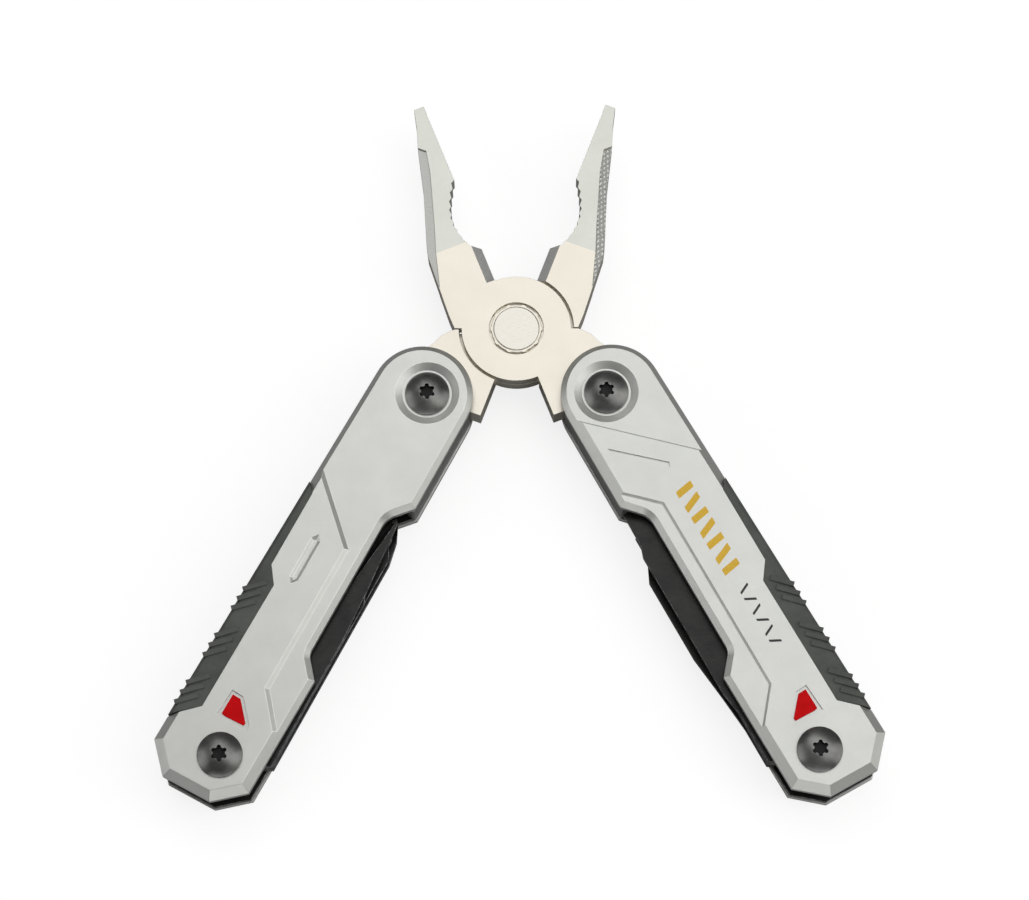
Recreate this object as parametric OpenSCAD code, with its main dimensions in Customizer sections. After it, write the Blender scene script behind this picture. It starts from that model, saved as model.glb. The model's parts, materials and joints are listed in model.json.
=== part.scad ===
// Folding multi tool: long-nose pliers with two handles, each holding four folding tools.
// Millimetres. The tool lies on the heads at its back, with +Z out of its front and +Y towards the jaws.
// The origin is under the middle of its outline, on the surface that it lies on.

/* [Plier head] */
// Distance from the plier rivet to the jaw tips
jaw_len = 54.9; // [45:0.1:57]
// Thickness of the plier head
head_t = 6; // [5:0.1:7.2]
// Radius of the two discs of the lap joint
disc_r = 11.6; // [11.2:0.1:11.8]
// Gap between a disc and the other half's recess
disc_gap = 0.6; // [0.4:0.05:0.8]
// Radius of the rivet's shank
rivet_r = 3; // [2:0.1:3.8]
// Radius of the rivet's heads
rivet_head_r = 4.8; // [4.4:0.1:5.2]
// Height of the rivet's heads, sunk in the halves
rivet_head_t = 0.9; // [0.6:0.1:1.2]
// Angle that each jaw stands open from the closing line at rest
jaw_open = 21; // [17:0.1:21.5]
// Distance from the closing line to a handle's pivot, jaws shut
arm_x = 12; // [11.8:0.1:13]
// Distance below the rivet of a handle's pivot, jaws shut
arm_y = 21.05; // [20:0.05:22]
// Radius of the eye round a handle's pivot
eye_r = 8.6; // [7.5:0.1:8.8]
// Width of the ground face of a wire cutter
cutter_w = 2.1; // [1.6:0.1:2.5]
// Depth of the rough strip along a jaw's outer edge
strip_d = 0.5; // [0.2:0.1:0.7]

/* [Handles] */
// Distance from a handle's pivot to its tool axle
pivot_span = 87; // [82:0.5:106]
// Angle of a handle from straight down at rest
splay = 28.74; // [24:0.1:32]
// Angle that a folded handle keeps from the closing line
fold_tilt = 2; // [1.8:0.1:3]
// Side play between the plier head and each liner
head_play = 0.1; // [0.05:0.01:0.2]
// Thickness of a liner
liner_t = 1.2; // [0.8:0.1:1.6]
// How far a liner stays inside the cover's outline
liner_in = 0.35; // [0.2:0.05:0.6]
// Thickness of a cover at its raised panel
cover_t = 3.3; // [2.6:0.1:4]
// Thickness of a cover's edge under its bevel
edge_t = 1.4; // [0.8:0.1:1.8]
// Height of the raised panel above the rest of a cover
panel_step = 0.7; // [0.3:0.1:0.9]
// Width of the slope at the edge of the raised panel
panel_slope = 0.9; // [0.5:0.1:1.2]
// Radius of a cover's round top
top_r = 10.7; // [10.4:0.1:10.7]
// Distance from the pivot to the cover's inner edge
inner_x = 9.7; // [9.5:0.1:9.8]
// Distance from the pivot line to the edge of the tool cut-out
cut_x = 5.45; // [4.5:0.05:6.5]
// Distance from the axle to the bottom edge of the front cover
end_drop = 9.1; // [8:0.1:11]
// How far a grip stands out past the cover's edge
grip_out = 0.1; // [0:0.05:0.3]
// Height of the grip's ribs above its face
rib_h = 0.45; // [0.2:0.05:0.6]
// Depth of the round dish under the front pivot screw
dish_d = 0.7; // [0.2:0.1:0.8]
// Depth of the recess round a marker
marker_d = 0.5; // [0.3:0.05:0.8]

/* [Screws] */
// Radius of the barrel that a handle turns on
pivot_r = 3; // [2.4:0.1:3.8]
// Radius of the barrel that the tools turn on
axle_r = 2.5; // [2.1:0.1:3.2]
// Radius of the screw shank inside a barrel
shank_r = 1.6; // [1.2:0.05:1.7]
// Radius of the button heads
screw_head_r = 4.65; // [4.2:0.05:5]
// Height of the front button heads
screw_head_t = 2.2; // [1.6:0.1:2.6]
// Height of the heads on the back covers' raised panels
back_head_t = 1.4; // [1:0.1:2.2]
// Radial clearance of every turning joint
running = 0.05; // [0.02:0.01:0.08]

/* [Tools] */
// Thickness of a folding tool
tool_t = 1.25; // [1:0.05:1.4]
// Thickness of the washers between the tools
washer_t = 0.2; // [0.1:0.02:0.24]
// Radius of a tool's tang round the axle
tang_r = 6.4; // [5.5:0.1:6.8]
// Distance from the axle to the outer edge of a folded tool
spine_x = 9.6; // [9:0.1:9.8]
// Gap between the longest tool and the bolster
tip_gap = 0.8; // [0.6:0.1:3]

/* [Hidden] */
$fn = 64;

// Colours
satin = [0.80, 0.80, 0.78];
bright = [0.87, 0.87, 0.86];
nickel = [0.91, 0.89, 0.86];
black = [0.11, 0.11, 0.11];
rubber = [0.29, 0.30, 0.28];
red = [0.78, 0, 0];

// Levels above the middle plane of the tool
head_z = head_t / 2;
liner_z = head_z + head_play;
cover_z = liner_z + liner_t;
panel_z = cover_z + cover_t;
low_z = panel_z - panel_step;
mid_z = panel_z + back_head_t;
far = 40;
cut = 0.5;

// Cover outline
bevel = cover_t - edge_t;
top_x = top_r - inner_x;
top_y = -0.6;
flare = 1.9;
outer_x = top_x + top_r;
cut_top = -29.5;
cut_low = -pivot_span + 28;
cut_top_r = 5;
cut_low_r = 3;
cut_top_turn = 42;
cut_low_turn = -40;

// Where things stand at rest
pivot_rest = [
    arm_x * cos(jaw_open) + arm_y * sin(jaw_open),
    arm_x * sin(jaw_open) - arm_y * cos(jaw_open)
];
head_top = jaw_len * cos(jaw_open);
handle_low = pivot_rest.y - (pivot_span + end_drop) * cos(splay) - 2.6 * sin(splay);
rivet_y = -(head_top + handle_low) / 2;

// Tool stack
tool_count = 4;
tool_pitch = 2 * liner_z / tool_count;
bolster_top = 1.2;
bolster_end = 23.2;
bolster_x = 7.6;
tool_len = pivot_span - bolster_end - tip_gap;

// Frames: jaws shut on the closing line, and each handle standing upright at its pivot

module front_half_place() {
    translate([0, rivet_y, mid_z]) rotate(jaw_open) children();
}

module rear_half_place() {
    translate([0, rivet_y, mid_z]) rotate(-jaw_open) rotate([0, 180, 0]) children();
}

module rivet_place() {
    translate([0, rivet_y, mid_z]) children();
}

module handle_place(side) {
    turn = (side == "left") ? 1 : 0;
    mirror([turn, 0, 0])
        translate([pivot_rest.x, pivot_rest.y + rivet_y, mid_z])
        rotate(splay)
        children();
}

module at_axle() {
    translate([0, -pivot_span, 0]) children();
}

module back() {
    mirror([0, 0, 1]) children();
}

module slab(low, high) {
    translate([0, 0, low]) linear_extrude(high - low) children();
}

// Cuts a sloped face along the line from a to b. The material is on the right of the line, and the
// slope rises from its foot at z0 over the given run and rise.
module slope_cut(a, b, z0, run, rise) {
    d = b - a;
    over = cut * run / rise;
    translate([a.x, a.y, z0])
        rotate(atan2(d.y, d.x))
        rotate([90, 0, 90])
        linear_extrude(norm(d))
        polygon([[0, 0], [cut, 0], [cut, rise + cut], [-run - over, rise + cut]]);
}

// Slopes along a line of points that turns only towards its material
module slopes(p, z0, run, rise) {
    for (i = [0 : len(p) - 2]) slope_cut(p[i], p[i + 1], z0, run, rise);
}

// Pocket with sloping sides, whose floor is the convex shape drawn by its children
module pocket(floor_z, run, rise) {
    over = (rise + cut) / rise;
    hull() {
        slab(floor_z, floor_z + 0.01) children();
        translate([0, 0, floor_z + rise + cut]) linear_extrude(0.01) offset(delta = run * over) children();
    }
}

// Plier head

// Depth of the pipe grip's hollow, from 0 at its top to 1 at its root
function hollow(t) = 3.7 * sin(135 * t);

nose_y = 36.4;
grip_len = 14.8;
nose_pitch = 0.9;
nose_teeth = floor((jaw_len - 1.2 - nose_y - 0.8) / nose_pitch);
grip_teeth = 8;
shut_x = -0.05;
stop_angle = jaw_open + 0.5;

jaw_outline = concat(
    [[shut_x, 9], [shut_x, 20.3], [-cutter_w, 20.8], [-2.7, 21.2]],
    [for (i = [grip_teeth : -1 : 1]) each [
        [shut_x - hollow(i / grip_teeth), nose_y - grip_len * i / grip_teeth],
        [shut_x - hollow((i - 0.5) / grip_teeth) - 0.35, nose_y - grip_len * (i - 0.7) / grip_teeth]
    ]],
    [[shut_x, nose_y]],
    [for (i = [0 : nose_teeth - 1]) each [
        [shut_x - 0.15, nose_y + 0.8 + nose_pitch * i],
        [shut_x, nose_y + 0.8 + nose_pitch * (i + 0.5)]
    ]],
    [
        [shut_x, jaw_len], [-2.3, jaw_len], [-3.3, jaw_len - 4.2], [-4.8, jaw_len - 8.9],
        [-7.3, 36], [-9.2, 30], [-11, 24.5], [-11.6, 22], [-11.9, 16], [-12.25, 8],
        [-13.1 * cos(stop_angle), 13.1 * sin(stop_angle)], [-10 * cos(stop_angle), 10 * sin(stop_angle)]
    ]
);

strip_outline = [
    [-5.3, jaw_len - 8.2], [-3.3, jaw_len - 10], [-4.3, jaw_len - 15], [-8, 27.5], [-9.5, 23],
    [-11.8, 14.6], [-15, 14.6], [-15, jaw_len - 8.2]
];

arm_side = 0.3;
hook_up = 0.35;
arm_outline = [
    [arm_side, -8], [arm_side, -arm_y + hook_up], [arm_x - eye_r + 0.6, -arm_y + hook_up],
    [arm_x, -arm_y], [arm_x + 6, -arm_y + 5.3], [arm_x + 5.6, -arm_y + 8], [arm_x + 3.2, -arm_y + 12],
    [14.3, -7], [12.94, -5.5], [13 * cos(stop_angle), -13 * sin(stop_angle)],
    [10 * cos(stop_angle), -10 * sin(stop_angle)], [0.3, 0]
];

taper_y = 22;
taper = 0.034;

// Everything above the front face of a jaw, lowered by a depth
module above_face(depth) {
    tip = jaw_len + 1;
    z = head_z - depth;
    translate([-far / 2, 0, 0])
        rotate([90, 0, 90])
        linear_extrude(far)
        polygon([[-far, z], [taper_y, z], [tip, z - taper * (tip - taper_y)], [tip, far], [-far, far]]);
}

module jaw_face_cuts() {
    above_face(0);
    intersection() {
        above_face(strip_d);
        slab(0, far) polygon(strip_outline);
    }
    slope_cut([shut_x, 22], [shut_x, disc_r + 0.2], 0.1, cutter_w, head_z - 0.1);
}

// One half: the left jaw, the right arm and the disc on the front, with the jaws shut
module plier_half() {
    difference() {
        union() {
            difference() {
                union() {
                    slab(-head_z, head_z) polygon(jaw_outline);
                    slab(-head_z, head_z) polygon(arm_outline);
                    translate([arm_x, -arm_y, -head_z]) cylinder(r = eye_r, h = head_t);
                }
                jaw_face_cuts();
                mirror([0, 0, 1]) jaw_face_cuts();
                translate([0, 0, -far]) cylinder(r = disc_r + disc_gap, h = far + running);
            }
            translate([0, 0, running]) cylinder(r = disc_r, h = head_z - running);
        }
        translate([0, 0, -far]) cylinder(r = rivet_r + running, h = 2 * far);
        translate([0, 0, head_z - rivet_head_t - running]) cylinder(r = rivet_head_r + 1, h = far);
        translate([arm_x, -arm_y, -far]) cylinder(r = pivot_r + running, h = 2 * far);
    }
}

module front_plier_half() {
    color(nickel) front_half_place() plier_half();
}

module rear_plier_half() {
    color(nickel) rear_half_place() plier_half();
}

module plier_rivet() {
    color(nickel) rivet_place() {
        translate([0, 0, -head_z]) cylinder(r = rivet_r, h = head_t);
        for (z = [-head_z, head_z - rivet_head_t]) translate([0, 0, z]) cylinder(r = rivet_head_r, h = rivet_head_t);
    }
}

// A ring with ten lobes, pressed round a rivet head
module rivet_ring() {
    lobes = 10;
    ring_t = rivet_head_t - 0.15;
    difference() {
        union() {
            cylinder(r = rivet_head_r + 0.5, h = ring_t);
            for (i = [0 : lobes - 1])
                rotate(360 / lobes * i) translate([rivet_head_r - 0.1, 0, 0]) cylinder(r = 0.85, h = ring_t);
        }
        translate([0, 0, -1]) cylinder(r = rivet_head_r + 0.02, h = far);
    }
}

module rivet_rings() {
    color(nickel) rivet_place() {
        translate([0, 0, head_z - rivet_head_t]) rivet_ring();
        mirror([0, 0, 1]) translate([0, 0, head_z - rivet_head_t]) rivet_ring();
    }
}

// Covers and liners

// Convex outline from the outer end of the round top, round the bottom end, to its inner end.
// The inset moves the whole line inwards.
function handle_points(inset) = [
    [outer_x - inset, top_y],
    [outer_x + flare - inset, -pivot_span + 2.7],
    [outer_x + flare + 0.1 - inset, -pivot_span - 3.3],
    [8.4, -pivot_span - end_drop + inset],
    [-2.6, -pivot_span - end_drop + inset],
    [-inner_x + 1 + inset, -pivot_span - 3.9],
    [-inner_x + inset, cut_top],
    [-inner_x + inset, top_y]
];

// The cut-out that shows the tools, open towards the inner side and grown by an amount
module cutout_corner(y, radius, turn, grow) {
    out = far / 2;
    for (d = [0, out])
        translate([-cut_x - radius - d * sin(abs(turn)), y + d * cos(turn) * sign(turn)])
            circle(r = radius + grow);
}

module cutout(grow) {
    hull() {
        cutout_corner(cut_top, cut_top_r, cut_top_turn, grow);
        cutout_corner(cut_low, cut_low_r, cut_low_turn, grow);
    }
}

module cover_blank() {
    outline = handle_points(0);
    bevel_z = cover_z + edge_t;
    lead_in = outline[0] + (outline[0] - outline[1]) / 40;
    difference() {
        union() {
            difference() {
                slab(cover_z, panel_z) polygon(outline);
                slopes(concat([lead_in], outline), bevel_z, bevel, bevel);
            }
            translate([top_x, top_y, cover_z])
                rotate_extrude($fn = 96)
                polygon([[0, 0], [top_r, 0], [top_r, edge_t], [top_r - bevel, cover_t], [0, cover_t]]);
        }
        slab(0, far) cutout(0);
        hull() {
            slab(bevel_z, bevel_z + 0.01) cutout(0);
            slab(panel_z + cut, panel_z + cut + 0.01) cutout(bevel + cut);
        }
    }
}

// The slanted foot of the panel, and where it meets the straight part beside the cut-out
foot_x = -2.05;
foot_low = -pivot_span + 16.6;

foot = [[-far, foot_low - far * 1.15], [foot_x, foot_low]];

module plain_relief() {
    pocket(low_z, panel_slope, panel_step)
        polygon(concat(foot, [[foot_x, 20], [-far, 20]]));
    shoulder = [[foot_x, -37.3], [20, -16.1]];
    slab(low_z, far) polygon(concat(shoulder, [[20, 20], [foot_x, 20]]));
    slopes(shoulder, low_z, panel_slope, panel_step);
    pocket(panel_z - 0.5, 0.6, 0.5)
        polygon([[4.5, -38.9], [4.9, -38.4], [5.3, -38.9], [5.3, -47.8], [4.9, -48.3], [4.5, -47.8]]);
}

module slashed_relief() {
    upper = [[-20, 8.3], [20, -29.3]];
    slab(low_z, far) polygon(concat(upper, [[20, 20], [-20, 20]]));
    slopes(upper, low_z, 0.4, panel_step);
    pocket(low_z, panel_slope / 2, panel_step)
        polygon(concat(foot, [[foot_x, -27], [-far, 9]]));
    slab(panel_z - 0.4, far)
        polygon([[-6, -11.2], [3.7, -19.9], [3.4, -20.8], [-0.5, -21.2], [-6.4, -15.9]]);
}

// Inner edge of a grip, from above its top corner to below its bottom one
grip_edge = [
    [15, -25.3], [10.4, -30.4], [10.4, -47.6], [7.8, -51.2],
    [8.2, -pivot_span + 7], [16, -pivot_span - 0.2]
];

marker_points = [[2.1, 12], [3.9, 12.1], [4, 7.6], [3.2, 7.4], [-1.2, 7.5], [-1.3, 8.1]];
marker_recess = [[1.8, 12.6], [4.4, 12.8], [4.8, 6.8], [-2.3, 6.7], [-2.2, 8.1]];

module cover(relief, dished) {
    difference() {
        cover_blank();
        if (relief == "plain") plain_relief();
        if (relief == "slashed") slashed_relief();
        slab(0, far) polygon(concat(grip_edge, [[20, -pivot_span], [20, -25]]));
        at_axle() slab(panel_z - marker_d, far) polygon(marker_recess);
        cylinder(r = pivot_r + 0.1, h = far);
        at_axle() cylinder(r = axle_r + 0.1, h = far);
        if (dished) translate([0, 0, low_z - dish_d]) {
            cylinder(r = screw_head_r + 0.5, h = far);
            cylinder(r1 = screw_head_r + 0.5, r2 = screw_head_r + 2.1, h = dish_d);
        }
    }
}

// The leaf that locks an open tool is cut free on two sides, and bends from its root
module leaf_slot() {
    slab(0, far) polygon([
        [-4.6, -pivot_span + 24], [-4, -pivot_span + 24], [-4, -pivot_span + 5.6],
        [-far, -pivot_span + 5.6], [-far, -pivot_span + 6.2], [-4.6, -pivot_span + 6.2]
    ]);
}

module liner() {
    difference() {
        union() {
            slab(liner_z, cover_z) polygon(handle_points(liner_in));
            translate([top_x, top_y, liner_z]) cylinder(r = top_r - liner_in, h = liner_t);
        }
        slab(0, far) cutout(liner_in);
        leaf_slot();
        cylinder(r = pivot_r + 0.02, h = far);
        at_axle() cylinder(r = axle_r + 0.02, h = far);
    }
}

// Rubber inlay on the outer edge, with its three groups of slanted ribs
rib_groups = 3;
rib_step = 11.2;
rib_gap = 2.3;
rib_len = 5;
rib_w = 1;

function grip_x(y) = outer_x + grip_out + flare * (top_y - y) / pivot_span;

module grip() {
    grip_z = panel_z - 0.1;
    top = [grip_x(-28.2), -28.2];
    bottom = [grip_x(-pivot_span + 2.3), -pivot_span + 2.3];
    outline = [top, bottom, grip_edge[4], grip_edge[3], grip_edge[2], grip_edge[1]];
    difference() {
        slab(cover_z, grip_z) polygon(outline);
        slopes([top, bottom], grip_z - 1.1, 0.8, 1.1);
    }
    for (group = [0 : rib_groups - 1])
        for (i = [-1 : 1]) {
            y = -pivot_span + 9.1 + rib_step * group + rib_gap * i;
            translate([grip_x(y) - 1.75, y, grip_z - 1.2])
                rotate(-45)
                translate([-rib_len / 2, -rib_w / 2, 0])
                cube([rib_len, rib_w, 1.2 + rib_h]);
        }
}

module markers() {
    floor_z = panel_z - marker_d;
    at_axle() {
        slab(floor_z, floor_z + 0.3) polygon(marker_points);
        back() slab(floor_z, floor_z + 0.3) polygon(marker_points);
    }
}

// The bolster closes the channel beside the eye, and its top end is the open handle's stop
module bolster() {
    x = -inner_x + liner_in;
    difference() {
        slab(-liner_z, liner_z)
            polygon([[x, bolster_top], [x, -bolster_end], [-bolster_x, -bolster_end], [-bolster_x, bolster_top]]);
        translate([0, 0, -far]) cylinder(r = eye_r + 0.3, h = 2 * far);
    }
}

module end_spacer() {
    at_axle() slab(-liner_z, liner_z) polygon([[7.6, 9.2], [12.2, 9.2], [12.5, 3.2], [8.2, 3.2]]);
}

// Screws and barrels

// Button head standing on z = 0, cut flat at its height
module button_head(height, dome_h) {
    dome_r = (pow(screw_head_r, 2) + pow(dome_h, 2)) / (2 * dome_h);
    foot = 0.5;
    intersection() {
        cylinder(r = screw_head_r, h = height);
        translate([0, 0, foot + dome_h - dome_r]) sphere(r = dome_r, $fn = 96);
    }
}

module torx_recess() {
    for (i = [0 : 5]) rotate(60 * i) translate([1.3, 0, 0]) cylinder(r = 0.42, h = far);
    cylinder(r = 1.25, h = far);
}

module screw(seat_z, barrel_low) {
    translate([0, 0, seat_z]) difference() {
        button_head(screw_head_t, screw_head_t - 0.5);
        translate([0, 0, screw_head_t - 1.3]) torx_recess();
    }
    translate([0, 0, barrel_low]) cylinder(r = shank_r, h = seat_z + 0.2 - barrel_low);
}

module barrel(radius, back_seat, front_seat) {
    difference() {
        union() {
            translate([0, 0, -back_seat]) cylinder(r = radius, h = back_seat + front_seat - 0.1);
            back() translate([0, 0, back_seat]) button_head(mid_z - back_seat, mid_z - back_seat + 0.3);
        }
        translate([0, 0, -back_seat + 0.5]) cylinder(r = shank_r + 0.05, h = far);
    }
}

module washers() {
    at_axle()
        for (i = [-1 : 1])
            translate([0, 0, i * tool_pitch - washer_t / 2])
                difference() {
                    cylinder(r = tang_r - 1.4, h = washer_t);
                    translate([0, 0, -1]) cylinder(r = axle_r + 0.02, h = far);
                }
}

// Folding tools, drawn upright from the axle. Layer 0 is at the front.

module tool(layer, outline) {
    at_axle() translate([0, 0, (tool_count / 2 - 0.5 - layer) * tool_pitch])
        difference() {
            union() {
                slab(-tool_t / 2, tool_t / 2) polygon(concat([[0, -2], [-spine_x, 3.4]], outline));
                translate([0, 0, -tool_t / 2]) cylinder(r = tang_r, h = tool_t);
            }
            children();
            translate([0, 0, -far]) cylinder(r = axle_r + running, h = 2 * far);
        }
}

// Grinds both faces down to a thin edge along a line of points
module ground_edge(p, width) {
    edge = 0.12;
    for (side = [0, 1]) mirror([0, 0, side]) slopes(p, edge / 2, width, (tool_t - edge) / 2);
}

// Half-moon nick for a thumbnail, in the front face
module nail_nick(x, y) {
    translate([x, y, tool_t / 2 - 0.35])
        rotate(90)
        intersection() {
            translate([-4, -1.3, 0]) cube([8, 1.3, far]);
            translate([0, 5.6, 0]) cylinder(r = 6.6, h = far);
        }
}

module awl() {
    tip = tool_len - 2;
    tool(0, [[-spine_x, 33], [-9, 44], [-7.6, tip - 1], [-6.9, tip], [-6.2, tip - 1], [-3, 30], [-3, 0]])
        ground_edge([[-6.2, tip - 1], [-3, 30]], 0.9);
}

module phillips_driver() {
    tip = tool_len - 3;
    tool(1, [
        [-spine_x, 42], [-8, 46], [-8, tip - 3.4], [-6.6, tip], [-5.4, tip], [-4, tip - 3.4],
        [-4, 46], [-2.6, 42], [-2.6, 0]
    ]);
}

module saw() {
    tip = tool_len - 7;
    teeth = 18;
    pitch = (tip - 16) / teeth;
    tool(2, concat(
        [[-spine_x + 0.3, 20], [-spine_x + 0.3, tip - 3], [-7.6, tip]],
        [for (i = [teeth : -1 : 1]) each [[-1.2, 14 + pitch * i], [-2.2, 14 + pitch * (i - 0.7)]]],
        [[-0.8, 12], [-0.8, 0]]
    ));
}

module plain_knife() {
    tip = tool_len - 1.6;
    edge_x = -0.6;
    tool(3, [
        [-spine_x, tip - 9], [-8.6, tip - 4], [-6.8, tip], [-3.6, tip - 8], [-1.5, tip - 16],
        [edge_x, tip - 25], [edge_x, 12], [-2.2, 10.5], [-2.2, 0]
    ]) {
        ground_edge([[-7.2, tip + 1], [-3.6, tip - 8], [-1.5, tip - 16], [edge_x, tip - 25], [edge_x, 12]], 2.4);
        nail_nick(-6.6, tip - 16);
    }
}

module flat_driver() {
    tip = tool_len;
    tool(0, [
        [-spine_x, 14], [-spine_x - 0.9, 20], [-spine_x - 0.9, tip - 10], [-spine_x, tip - 7.5],
        [-spine_x, tip], [-4.2, tip], [-4.2, tip - 9], [-3, tip - 13], [-3, 0]
    ])
        ground_edge([[-spine_x, tip], [-4.2, tip]], 5);
}

module can_opener() {
    tip = 45;
    tool(1, [
        [-spine_x, tip - 8], [-8, tip - 1.5], [-5.6, tip], [-3.4, tip - 2], [-4.8, tip - 5],
        [-5.4, tip - 8], [-4.4, tip - 10.4], [-2.4, tip - 11], [-2.4, 0]
    ])
        ground_edge([[-6.7, tip + 1], [-3.4, tip - 2]], 1.2);
}

module file() {
    tip = tool_len - 5;
    tool(2, [[-spine_x + 0.2, 18], [-spine_x + 0.2, tip], [-1.6, tip], [-1.6, 14], [-3, 11], [-3, 0]]);
}

module serrated_knife() {
    tip = tool_len - 9.5;
    edge_x = -0.6;
    serrations = 9;
    pitch = (tip - 22) / serrations;
    tool(3, concat(
        [
            [-spine_x, 12], [-spine_x - 0.7, 20], [-spine_x - 1.8, 30], [-spine_x - 1.8, tip - 5],
            [-spine_x, tip - 1.2], [-8, tip], [-4.6, tip - 5]
        ],
        [for (i = [serrations : -1 : 1]) each [
            [edge_x - 0.25 * i * i / serrations, 13 + pitch * i],
            [edge_x - 0.9 - 0.25 * i * i / serrations, 13 + pitch * (i - 0.5)]
        ]],
        [[edge_x, 13], [-2.2, 11], [-2.2, 0]]
    )) {
        ground_edge([[-8, tip], [-4.6, tip - 5], [edge_x - 2.2, tip - 9], [edge_x, 13]], 3);
        nail_nick(-8.2, tip - 12);
    }
}

// Nodes. Each stands in its handle's frame, or in the plier head's.

dish_z = low_z - dish_d;
barrel_wall = 1.2;

module front_cover(side, relief) { handle_place(side) cover(relief, true); }
module back_cover(side) { handle_place(side) back() cover("plain", false); }
module front_liner(side) { handle_place(side) liner(); }
module back_liner(side) { handle_place(side) back() liner(); }
module front_grip(side) { handle_place(side) grip(); }
module back_grip(side) { handle_place(side) back() grip(); }
module pivot_screw(side) { handle_place(side) screw(dish_z, barrel_wall - low_z); }
module pivot_barrel(side) { handle_place(side) barrel(pivot_r, low_z, dish_z); }
module axle_screw(side) { handle_place(side) at_axle() screw(panel_z, barrel_wall - panel_z); }
module axle_barrel(side) { handle_place(side) at_axle() barrel(axle_r, panel_z, panel_z); }

module left_front_cover() { color(satin) front_cover("left", "plain"); }
module left_back_cover() { color(satin) back_cover("left"); }
module left_front_liner() { color(black) front_liner("left"); }
module left_back_liner() { color(black) back_liner("left"); }
module left_front_grip() { color(rubber) front_grip("left"); }
module left_back_grip() { color(rubber) back_grip("left"); }
module left_markers() { color(red) handle_place("left") markers(); }
module left_bolster() { color(satin) handle_place("left") bolster(); }
module left_end_spacer() { color(black) handle_place("left") end_spacer(); }
module left_pivot_screw() { color(black) pivot_screw("left"); }
module left_pivot_barrel() { color(black) pivot_barrel("left"); }
module left_axle_screw() { color(black) axle_screw("left"); }
module left_axle_barrel() { color(black) axle_barrel("left"); }
module left_washers() { color(bright) handle_place("left") washers(); }
module left_awl() { color(black) handle_place("left") awl(); }
module left_phillips_driver() { color(black) handle_place("left") phillips_driver(); }
module left_saw() { color(black) handle_place("left") saw(); }
module left_plain_knife() { color(black) handle_place("left") plain_knife(); }

module right_front_cover() { color(bright) front_cover("right", "slashed"); }
module right_back_cover() { color(bright) back_cover("right"); }
module right_front_liner() { color(black) front_liner("right"); }
module right_back_liner() { color(black) back_liner("right"); }
module right_front_grip() { color(rubber) front_grip("right"); }
module right_back_grip() { color(rubber) back_grip("right"); }
module right_markers() { color(red) handle_place("right") markers(); }
module right_bolster() { color(satin) handle_place("right") bolster(); }
module right_end_spacer() { color(black) handle_place("right") end_spacer(); }
module right_pivot_screw() { color(black) pivot_screw("right"); }
module right_pivot_barrel() { color(black) pivot_barrel("right"); }
module right_axle_screw() { color(black) axle_screw("right"); }
module right_axle_barrel() { color(black) axle_barrel("right"); }
module right_washers() { color(bright) handle_place("right") washers(); }
module right_flat_driver() { color(black) handle_place("right") flat_driver(); }
module right_can_opener() { color(black) handle_place("right") can_opener(); }
module right_file() { color(black) handle_place("right") file(); }
module right_serrated_knife() { color(black) handle_place("right") serrated_knife(); }

front_plier_half();
rear_plier_half();
plier_rivet();
rivet_rings();
left_front_cover();
left_back_cover();
left_front_liner();
left_back_liner();
left_front_grip();
left_back_grip();
left_markers();
left_bolster();
left_end_spacer();
left_pivot_screw();
left_pivot_barrel();
left_axle_screw();
left_axle_barrel();
left_washers();
left_awl();
left_phillips_driver();
left_saw();
left_plain_knife();
right_front_cover();
right_back_cover();
right_front_liner();
right_back_liner();
right_front_grip();
right_back_grip();
right_markers();
right_bolster();
right_end_spacer();
right_pivot_screw();
right_pivot_barrel();
right_axle_screw();
right_axle_barrel();
right_washers();
right_flat_driver();
right_can_opener();
right_file();
right_serrated_knife();
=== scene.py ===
import json
import math
import bpy
from mathutils import Matrix, Vector

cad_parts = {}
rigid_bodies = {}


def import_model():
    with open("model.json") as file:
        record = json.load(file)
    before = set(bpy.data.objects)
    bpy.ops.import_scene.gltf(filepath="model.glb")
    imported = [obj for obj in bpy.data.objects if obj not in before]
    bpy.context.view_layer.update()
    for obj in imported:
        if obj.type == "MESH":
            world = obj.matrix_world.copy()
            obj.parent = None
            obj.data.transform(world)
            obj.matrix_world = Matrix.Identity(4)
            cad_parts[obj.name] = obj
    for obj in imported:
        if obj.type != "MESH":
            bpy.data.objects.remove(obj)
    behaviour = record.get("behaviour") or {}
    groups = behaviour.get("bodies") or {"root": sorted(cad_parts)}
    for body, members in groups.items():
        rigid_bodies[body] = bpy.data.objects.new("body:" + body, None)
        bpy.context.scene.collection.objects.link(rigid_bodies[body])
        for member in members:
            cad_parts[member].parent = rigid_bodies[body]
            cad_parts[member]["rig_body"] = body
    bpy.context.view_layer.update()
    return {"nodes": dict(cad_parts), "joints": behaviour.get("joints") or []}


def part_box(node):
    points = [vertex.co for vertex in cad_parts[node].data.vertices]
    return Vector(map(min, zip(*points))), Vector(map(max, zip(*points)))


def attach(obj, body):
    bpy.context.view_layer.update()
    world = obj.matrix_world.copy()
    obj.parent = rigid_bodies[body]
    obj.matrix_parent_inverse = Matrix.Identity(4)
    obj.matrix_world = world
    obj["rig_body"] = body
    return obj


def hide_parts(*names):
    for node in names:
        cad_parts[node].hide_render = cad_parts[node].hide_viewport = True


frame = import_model()
mm = 0.001
jointAt = {j["name"]: Vector(j["pos_m"]) for j in frame["joints"]}
rivet = jointAt["plier_hinge"]
print("frame loaded")


# ---- materials ----

def freshMaterial(name, colour, metallic, roughness):
    m = bpy.data.materials.new(name)
    m.use_nodes = True
    shader = m.node_tree.nodes["Principled BSDF"]
    shader.inputs["Base Color"].default_value = (*colour, 1)
    shader.inputs["Metallic"].default_value = metallic
    shader.inputs["Roughness"].default_value = roughness
    return m, shader


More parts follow.
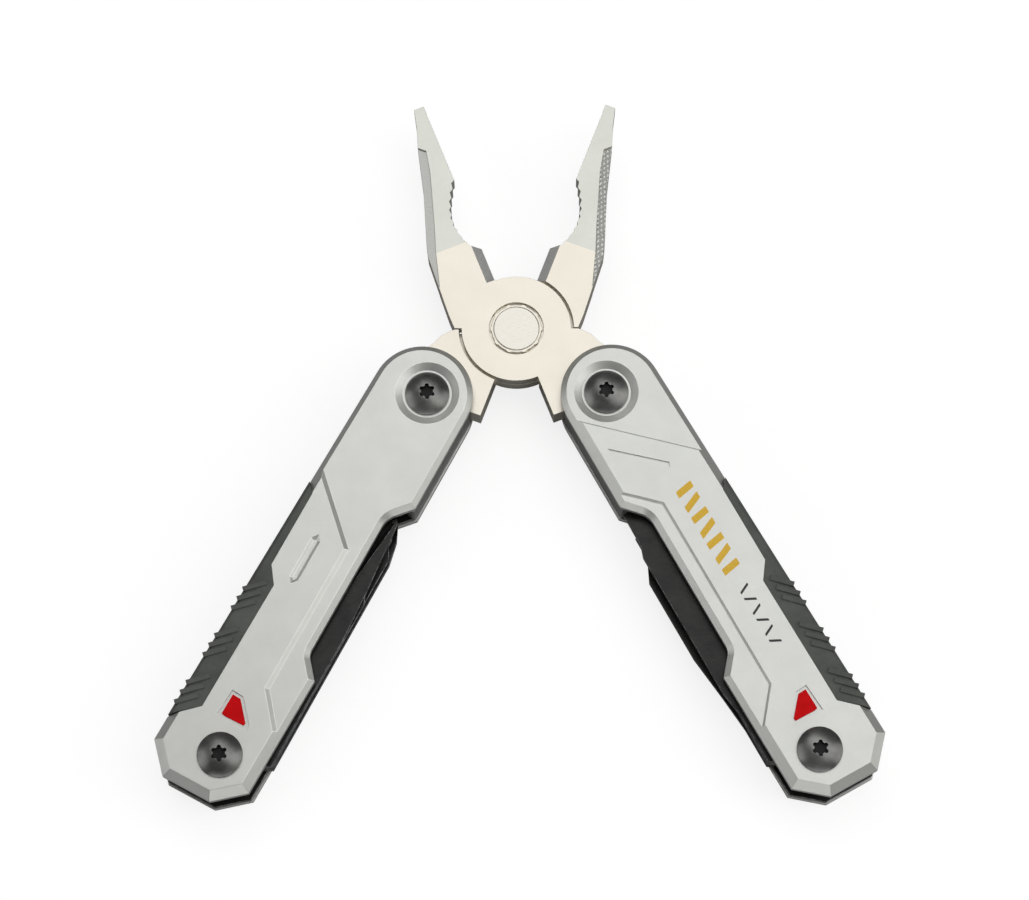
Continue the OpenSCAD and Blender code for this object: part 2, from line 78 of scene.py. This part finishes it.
def addNode(m, kind, **values):
    n = m.node_tree.nodes.new(kind)
    for key, value in values.items():
        if key in n.inputs:
            n.inputs[key].default_value = value
        else:
            setattr(n, key, value)
    return n


def link(m, source, target):
    m.node_tree.links.new(source, target)


def placeOnPart(m, scale, turn=(0, 0, 0)):
    coords = addNode(m, "ShaderNodeTexCoord")
    mapping = addNode(m, "ShaderNodeMapping", Scale=scale, Rotation=turn)
    link(m, coords.outputs["Object"], mapping.inputs["Vector"])
    return mapping.outputs["Vector"]


def grain(m, where, scale, detail=3.0, rough=0.55):
    n = addNode(m, "ShaderNodeTexNoise", Scale=scale, Detail=detail, Roughness=rough)
    link(m, where, n.inputs["Vector"])
    return n.outputs["Fac"]


def spread(m, value, low, high, start=0.3, end=0.7):
    n = addNode(m, "ShaderNodeMapRange")
    n.inputs["From Min"].default_value = start
    n.inputs["From Max"].default_value = end
    n.inputs["To Min"].default_value = low
    n.inputs["To Max"].default_value = high
    link(m, value, n.inputs["Value"])
    return n.outputs["Result"]


def twoTone(m, value, dark, light, start=0.3, end=0.7):
    n = addNode(m, "ShaderNodeValToRGB")
    n.color_ramp.elements[0].position = start
    n.color_ramp.elements[0].color = (*dark, 1)
    n.color_ramp.elements[1].position = end
    n.color_ramp.elements[1].color = (*light, 1)
    link(m, value, n.inputs["Fac"])
    return n.outputs["Color"]


def relief(m, shader, value, strength, depth, under=None):
    n = addNode(m, "ShaderNodeBump", Strength=strength, Distance=depth)
    link(m, value, n.inputs["Height"])
    if under is not None:
        link(m, under, n.inputs["Normal"])
    link(m, n.outputs["Normal"], shader.inputs["Normal"])
    return n.outputs["Normal"]


def castSilver(name, tone, roughLow, roughHigh):
    m, shader = freshMaterial(name, tone, 0.88, 0.42)
    where = placeOnPart(m, (1, 1, 1))
    cloud = grain(m, where, 160, 4)
    sand = grain(m, where, 5200, 3, 0.7)
    dark = tuple(c * 0.97 for c in tone)
    light = tuple(min(1, c * 1.03) for c in tone)
    link(m, twoTone(m, cloud, dark, light), shader.inputs["Base Color"])
    link(m, spread(m, sand, roughLow, roughHigh), shader.inputs["Roughness"])
    relief(m, shader, sand, 0.35, 0.00004)
    return m


def nickelSatin(name, tone):
    m, shader = freshMaterial(name, tone, 1.0, 0.36)
    where = placeOnPart(m, (1, 1, 1))
    cloud = grain(m, where, 130, 4)
    fine = grain(m, where, 6500, 2, 0.6)
    link(m, twoTone(m, cloud, tuple(c - 0.02 for c in tone), tuple(c + 0.02 for c in tone)),
         shader.inputs["Base Color"])
    link(m, spread(m, fine, 0.32, 0.42), shader.inputs["Roughness"])
    relief(m, shader, fine, 0.25, 0.00002)
    return m


def groundSteel(name, tone, turn, roughLow=0.28, roughHigh=0.46):
    m, shader = freshMaterial(name, tone, 1.0, 0.34)
    where = placeOnPart(m, (900, 14000, 3000), turn)
    scratch = grain(m, where, 1, 2, 0.6)
    link(m, twoTone(m, scratch, tuple(c * 0.8 for c in tone), tuple(min(1, c * 1.12) for c in tone)),
         shader.inputs["Base Color"])
    link(m, spread(m, scratch, roughLow, roughHigh), shader.inputs["Roughness"])
    relief(m, shader, scratch, 0.3, 0.00002)
    return m


def fileCut():
    # small crossed teeth with random patches; the colour follows the tooth height, painted shade in the
    # hollows
    m, shader = freshMaterial("fileCutSteel", (0.5, 0.5, 0.47), 1.0, 0.42)
    where = placeOnPart(m, (1, 1, 1))
    first = addNode(m, "ShaderNodeTexWave", Scale=400, Distortion=2.2, Detail=2.0)
    second = addNode(m, "ShaderNodeTexWave", Scale=330, Distortion=3.2, Detail=2.0)
    turned = placeOnPart(m, (1, 1, 1), (0, 0, math.radians(62)))
    link(m, where, first.inputs["Vector"])
    link(m, turned, second.inputs["Vector"])
    patchNoise = grain(m, where, 900, 4, 0.7)
    cross = addNode(m, "ShaderNodeMath", operation="MULTIPLY")
    link(m, first.outputs["Fac"], cross.inputs[0])
    link(m, second.outputs["Fac"], cross.inputs[1])
    toothHeightAndShade = addNode(m, "ShaderNodeMath", operation="MULTIPLY_ADD")
    link(m, patchNoise, toothHeightAndShade.inputs[0])
    toothHeightAndShade.inputs[1].default_value = 0.8
    link(m, cross.outputs["Value"], toothHeightAndShade.inputs[2])
    # dark in the tooth hollows, light on the tops: painted shade following the teeth
    link(m, twoTone(m, toothHeightAndShade.outputs["Value"], (0.3, 0.3, 0.28), (0.68, 0.68, 0.65), 0.35, 0.95),
         shader.inputs["Base Color"])
    link(m, spread(m, patchNoise, 0.34, 0.55), shader.inputs["Roughness"])
    relief(m, shader, toothHeightAndShade.outputs["Value"], 0.8, 0.00012)
    return m


def blackOxide(name, tone, metallic, low, high, scratchy):
    m, shader = freshMaterial(name, (tone, tone, tone * 0.95), metallic, 0.35)
    where = placeOnPart(m, (700, 5200, 700), (0, 0, math.radians(30)))
    lines = grain(m, where, 1, 3, 0.6)
    cloud = grain(m, placeOnPart(m, (1, 1, 1)), 240, 4)
    link(m, twoTone(m, cloud, (tone * 0.75,) * 3, (tone * 1.5, tone * 1.5, tone * 1.42)),
         shader.inputs["Base Color"])
    link(m, spread(m, lines if scratchy else cloud, low, high), shader.inputs["Roughness"])
    relief(m, shader, lines if scratchy else grain(m, placeOnPart(m, (1, 1, 1)), 4200, 2), 0.2, 0.00002)
    return m


def blackEdgeHighlight():
    m, shader = freshMaterial("wornBlackEdge", (0.2, 0.2, 0.205), 0.9, 0.34)
    patchNoise = grain(m, placeOnPart(m, (1, 1, 1)), 700, 4, 0.7)
    # the bevels of the black parts are painted lighter and bluish in random patches: painted highlight along
    # the edges
    tone = twoTone(m, patchNoise, (0.035, 0.035, 0.034), (0.34, 0.345, 0.36), 0.38, 0.6)
    link(m, tone, shader.inputs["Base Color"])
    link(m, spread(m, patchNoise, 0.28, 0.42), shader.inputs["Roughness"])
    return m


def gripRubber():
    m, shader = freshMaterial("gripRubber", (0.085, 0.09, 0.08), 0.0, 0.6)
    where = placeOnPart(m, (1, 1, 1))
    dust = grain(m, where, 210, 4)
    pebble = grain(m, where, 3600, 2, 0.6)
    link(m, twoTone(m, dust, (0.066, 0.071, 0.062), (0.108, 0.114, 0.102)), shader.inputs["Base Color"])
    link(m, spread(m, pebble, 0.5, 0.68), shader.inputs["Roughness"])
    relief(m, shader, pebble, 0.5, 0.00005)
    return m


def ink(name, colour):
    m, shader = freshMaterial(name, colour, 0.0, 0.45)
    speck = grain(m, placeOnPart(m, (1, 1, 1)), 2600, 3)
    link(m, twoTone(m, speck, tuple(c * 0.88 for c in colour), tuple(min(1, c * 1.06) for c in colour)),
         shader.inputs["Base Color"])
    link(m, spread(m, speck, 0.38, 0.52), shader.inputs["Roughness"])
    return m


def redEnamel():
    m, shader = freshMaterial("redEnamel", (0.72, 0.003, 0.005), 0.0, 0.4)
    shader.inputs["Specular IOR Level"].default_value = 0.06
    flow = grain(m, placeOnPart(m, (1, 1, 1)), 420, 2)
    link(m, twoTone(m, flow, (0.66, 0.002, 0.004), (0.76, 0.004, 0.007)), shader.inputs["Base Color"])
    relief(m, shader, flow, 0.2, 0.0001)
    return m


def washerBronze():
    m, shader = freshMaterial("washerBronze", (0.62, 0.41, 0.2), 1.0, 0.35)
    turnMarks = grain(m, placeOnPart(m, (1, 1, 1)), 1600, 3)
    link(m, twoTone(m, turnMarks, (0.5, 0.32, 0.15), (0.7, 0.48, 0.25)), shader.inputs["Base Color"])
    link(m, spread(m, turnMarks, 0.3, 0.45), shader.inputs["Roughness"])
    return m


finish = {
    "silver": castSilver("castSilver", (0.68, 0.687, 0.655), 0.36, 0.48),
    "silverEdge": castSilver("castSilverEdge", (0.72, 0.725, 0.695), 0.3, 0.42),
    "nickel": nickelSatin("nickelSatin", (0.787, 0.745, 0.652)),
    # darker copy of the nickel for the jaw faces: painted shade where they tilt away from the light
    "jaw": nickelSatin("nickelJaw", (0.64, 0.645, 0.595)),
    "cutter": groundSteel("cutterGround", (0.93, 0.93, 0.9), (0, 0, 0), 0.52, 0.66),
    "strip": groundSteel("stripGround", (0.46, 0.465, 0.445), (0, 0, math.radians(90))),
    "file": fileCut(),
    "rivet": groundSteel("rivetBrushed", (0.8, 0.77, 0.7), (0, 0, math.radians(90))),
    "black": blackOxide("blackOxide", 0.022, 0.6, 0.26, 0.42, True),
    "screw": blackOxide("screwBlack", 0.19, 1.0, 0.33, 0.4, False),
    # near-black for the screws' drive holes: painted shade inside the recess
    "recess": blackOxide("recessBlack", 0.006, 0.2, 0.5, 0.7, False),
    "tool": blackOxide("toolBlack", 0.018, 0.6, 0.24, 0.38, True),
    # bevels of liners, spacers and tools: painted edge highlight
    "edge": blackEdgeHighlight(),
    "bolster": groundSteel("bolsterBrushed", (0.36, 0.36, 0.35), (0, 0, 0)),
    "rubber": gripRubber(),
    "red": redEnamel(),
    "bronze": washerBronze(),
    "yellow": ink("yellowInk", (0.9, 0.55, 0.03)),
    "darkInk": ink("blackInk", (0.03, 0.03, 0.03)),
}
print("materials made")


# ---- CAD nodes, refined ----

def selectOnly(piece):
    bpy.ops.object.select_all(action="DESELECT")
    piece.hide_set(False)
    piece.select_set(True)
    bpy.context.view_layer.objects.active = piece


def applyAll(piece):
    selectOnly(piece)
    for modifier in list(piece.modifiers):
        bpy.ops.object.modifier_apply(modifier=modifier.name)


def pieceName(node):
    words = node.split("_")
    return words[0] + "".join(w.capitalize() for w in words[1:])


usualRound = dict(steps=2, edgeFrom=28, smooth=34, merge=0.002, flatWithin=0.6, domed=False)  # mm and degrees


def roundedCopy(node, look):  # a merged copy of a node, with its edges rounded
    settings = {**usualRound, **look}
    source = frame["nodes"][node]
    piece = source.copy()
    piece.data = source.data.copy()
    piece.name = pieceName(node)
    piece.parent = None
    for key in list(piece.keys()):
        del piece[key]
    bpy.context.scene.collection.objects.link(piece)
    piece.data.materials.clear()
    piece.data.materials.append(finish[settings["finish"]])
    piece.data.materials.append(finish[settings.get("edge", settings["finish"])])
    selectOnly(piece)
    bpy.ops.object.mode_set(mode="EDIT")
    bpy.ops.mesh.select_all(action="SELECT")
    bpy.ops.mesh.remove_doubles(threshold=settings["merge"] * mm)
    if not settings["domed"]:
        bpy.ops.mesh.dissolve_limited(angle_limit=math.radians(settings["flatWithin"]))
    bpy.ops.object.mode_set(mode="OBJECT")
    bevel = piece.modifiers.new("round", "BEVEL")
    bevel.width = settings["round"] * mm
    bevel.segments = settings["steps"]
    bevel.limit_method = "ANGLE"
    bevel.angle_limit = math.radians(settings["edgeFrom"])
    bevel.use_clamp_overlap = True
    bevel.material = 1
    applyAll(piece)
    bpy.ops.object.shade_smooth_by_angle(angle=math.radians(settings["smooth"]))
    if not settings["domed"]:
        weighted = piece.modifiers.new("evenShade", "WEIGHTED_NORMAL")
        weighted.keep_sharp = True
        applyAll(piece)
    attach(piece, source["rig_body"])
    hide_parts(node)
    return piece


looks = {
    "plier_rivet": dict(finish="rivet", round=0.18, steps=3),
    "rivet_rings": dict(finish="nickel", round=0.14, steps=2),
    "cover": dict(finish="silver", edge="silverEdge", round=0.35, steps=3, merge=0.03, edgeFrom=18),
    "liner": dict(finish="black", edge="edge", round=0.1, steps=2),
    "grip": dict(finish="rubber", round=0.22, steps=3),
    "markers": dict(finish="red", round=0.12, steps=3),
    "bolster": dict(finish="bolster", round=0.15, steps=2),
    "end_spacer": dict(finish="black", edge="edge", round=0.12, steps=2),
    "screw": dict(finish="screw", round=0.12, steps=3, domed=True, smooth=40, edgeFrom=50),
    "barrel": dict(finish="screw", round=0.12, steps=3, domed=True, smooth=40, edgeFrom=50),
    "washers": dict(finish="bronze", round=0.03, steps=1),
    "tool": dict(finish="tool", edge="edge", round=0.09, steps=2),
}
toolWords = ("awl", "driver", "saw", "knife", "opener", "file")
refined = {}
for node in sorted(frame["nodes"]):
    if node.endswith("plier_half"):
        continue
    for word, settings in looks.items():
        if word in node:
            refined[node] = roundedCopy(node, settings)
            break
    else:
        if any(node.endswith(w) for w in toolWords):
            refined[node] = roundedCopy(node, looks["tool"])
        else:
            print("no look for", node)
driveHole = dict(radius=1.95, below=0.22)
for node in [n for n in refined if n.endswith("_screw")]:  # the drive hole is painted near-black: painted shade inside the recess
    low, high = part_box(node)
    refined[node].data.materials.append(finish["recess"])
    for face in refined[node].data.polygons:
        off = face.center - (Vector(low) + Vector(high)) / 2
        inside = math.hypot(off.x, off.y) < driveHole["radius"] * mm
        if inside and face.center.z < high.z - driveHole["below"] * mm:
            face.material_index = 2
print("handles refined:", len(refined))


# ---- plier halves, with their ground faces ----

plierLook = dict(finish="nickel", edge="nickel", round=0.16, steps=2, open=21, headHalf=3.0, taper=0.034,
                 taperFrom=22.0, sunkFrom=14.0, sunkBy=0.3, cutFrom=10.5, cutTo=22.3, cutEdge=-2.4)
for node, front in (("front_plier_half", True), ("rear_plier_half", False)):
    half = roundedCopy(node, plierLook)
    half.data.materials.append(finish["cutter"])
    half.data.materials.append(finish["strip"] if front else finish["file"])
    half.data.materials.append(finish["jaw"])
    turn = Matrix.Rotation(math.radians(-plierLook["open"]), 3, "Z")
    if not front:
        turn = Matrix.Rotation(math.pi, 3, "Y") @ Matrix.Rotation(math.radians(plierLook["open"]), 3, "Z")
    for face in half.data.polygons:
        at = turn @ (face.center - rivet) / mm
        way = turn @ face.normal
        sunk = plierLook["headHalf"] - plierLook["taper"] * max(0, at.y - plierLook["taperFrom"]) - abs(at.z)
        onCutter = plierLook["cutFrom"] < at.y < plierLook["cutTo"] and at.x > plierLook["cutEdge"]
        if at.y > plierLook["sunkFrom"] and abs(way.z) > 0.9 and sunk > plierLook["sunkBy"]:
            face.material_index = 3
        elif onCutter and 0.3 < abs(way.z) < 0.93:
            face.material_index = 2
        # the remaining jaw faces take the darker nickel copy: painted shade
        elif at.y > plierLook["taperFrom"]:
            face.material_index = 4
    refined[node] = half
print("plier halves refined")


# ---- printed motif on the right cover ----

rightPivot = jointAt["right_handle_fold"]
printLook = dict(splay=28.74, thick=0.03, sink=0.005, corner=0.16)
printRows = (
    dict(name="yellowStripes", bar="yellowBar", ink="yellow", count=7, start=-25.0, end=-47.0, across=3.5,
         wide=3.9, tall=1.5, leans=(0.2, 0.45)),
    dict(name="blackStripes", bar="blackBar", ink="darkInk", count=6, start=-49.5, end=-64.5, across=3.6,
         wide=2.3, tall=0.55, leans=(0.5, -0.5)),
)


def printBar(row, along, lean, handTurn):
    bpy.ops.object.select_all(action="DESELECT")
    bpy.ops.mesh.primitive_plane_add(size=1, location=(0, 0, 0))
    bar = bpy.context.active_object
    bar.name = row["bar"]
    bar.scale = (row["wide"] * mm, row["tall"] * mm, 1)
    bpy.ops.object.transform_apply(location=False, rotation=False, scale=True)
    for v in bar.data.vertices:  # the bar leans along the handle
        v.co.y += lean * v.co.x
    bpy.ops.object.mode_set(mode="EDIT")
    bpy.ops.mesh.select_all(action="SELECT")
    bpy.ops.mesh.bevel(offset=printLook["corner"] * mm, segments=3, affect="VERTICES")
    bpy.ops.mesh.select_all(action="SELECT")
    bpy.ops.mesh.extrude_region_move(TRANSFORM_OT_translate={"value": (0, 0, printLook["thick"] * mm)})
    bpy.ops.object.mode_set(mode="OBJECT")
    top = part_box("right_front_cover")[1].z
    spot = Matrix.Translation((rightPivot.x, rightPivot.y, top - printLook["sink"] * mm))
    onHandle = Matrix.Translation((row["across"] * mm, along * mm, 0))
    bar.data.transform(spot @ handTurn @ onHandle)
    bar.data.materials.append(finish[row["ink"]])
    return bar


def joinAs(parts, name):
    bpy.ops.object.select_all(action="DESELECT")
    for part in parts:
        part.select_set(True)
    bpy.context.view_layer.objects.active = parts[0]
    bpy.ops.object.join()
    whole = bpy.context.active_object
    whole.name = name
    selectOnly(whole)
    bpy.ops.object.mode_set(mode="EDIT")
    bpy.ops.mesh.select_all(action="SELECT")
    bpy.ops.mesh.normals_make_consistent(inside=False)
    bpy.ops.object.mode_set(mode="OBJECT")
    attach(whole, "right_handle")
    return whole


handTurn = Matrix.Rotation(math.radians(printLook["splay"]), 4, "Z")
for row in printRows:
    step = (row["end"] - row["start"]) / row["count"]
    bars = []
    for i in range(row["count"]):
        bars.append(printBar(row, row["start"] + step * (i + 0.5), row["leans"][i % 2], handTurn))
    joinAs(bars, row["name"])
print("motif printed")


# ---- floor, light and camera ----

stageLook = dict(floorSize=4.0, floorDrop=0.0001, floorTone=0.34, floorGlow=0.8, world=0.09)
lamps = (
    dict(name="overhead", place=(0.2, 0.24, 0.95), size=(2.2, 0.85), power=7.2, colour=(1, 1, 1)),
    dict(name="rightSide", place=(1.1, -0.1, 0.42), size=(1.0, 0.9), power=3.4, colour=(1, 0.99, 0.97)),
    dict(name="leftSide", place=(-1.1, -0.1, 0.42), size=(1.0, 0.9), power=2.89, colour=(1, 1, 1)),
    dict(name="lowFront", place=(0, -1.2, 0.35), size=(1.6, 0.35), power=3.0, colour=(1, 1, 1)),
)


def paleFloor():
    bpy.ops.object.select_all(action="DESELECT")
    bpy.ops.mesh.primitive_plane_add(size=stageLook["floorSize"], location=(0, 0, -stageLook["floorDrop"]))
    floor = bpy.context.active_object
    floor.name = "floor"
    m, shader = freshMaterial("paleFloor", (stageLook["floorTone"],) * 3, 0.0, 0.9)
    shader.inputs["Specular IOR Level"].default_value = 0.0
    shader.inputs["Emission Color"].default_value = (1, 1, 1, 1)
    seen = addNode(m, "ShaderNodeLightPath")  # pale to the eye, dim to the metal that mirrors it
    glow = addNode(m, "ShaderNodeMath", operation="MULTIPLY")
    glow.inputs[1].default_value = stageLook["floorGlow"]
    link(m, seen.outputs["Is Camera Ray"], glow.inputs[0])
    link(m, glow.outputs["Value"], shader.inputs["Emission Strength"])
    floor.data.materials.append(m)


def softbox(lampLook):
    bpy.ops.object.select_all(action="DESELECT")
    bpy.ops.object.light_add(type="AREA", location=lampLook["place"])
    lamp = bpy.context.active_object
    lamp.name = lampLook["name"]
    lamp.data.shape = "RECTANGLE"
    lamp.data.size, lamp.data.size_y = lampLook["size"]
    lamp.data.energy = lampLook["power"]
    lamp.data.color = lampLook["colour"]
    lamp.rotation_mode = "QUATERNION"
    lamp.rotation_quaternion = (-Vector(lampLook["place"])).to_track_quat("-Z", "Y")  # aimed at the centre


paleFloor()
for lampLook in lamps:
    softbox(lampLook)
world = bpy.data.worlds.new("studio")
bpy.context.scene.world = world
world.use_nodes = True
world.node_tree.nodes["Background"].inputs["Color"].default_value = (1, 1, 1, 1)
world.node_tree.nodes["Background"].inputs["Strength"].default_value = stageLook["world"]

cameraLook = dict(place=(0.003052, -0.175227, 0.615725), turn=(16.0051, 0.4679, -0.4261), lens=104.956)
bpy.ops.object.camera_add(location=cameraLook["place"], rotation=[math.radians(a) for a in cameraLook["turn"]])
camera = bpy.context.active_object
camera.name = "camera"
camera.data.sensor_width = 36
camera.data.lens = cameraLook["lens"]
camera.data.clip_start = 0.01
bpy.context.scene.camera = camera
bpy.context.scene.view_settings.view_transform = "Standard"
print("stage set")
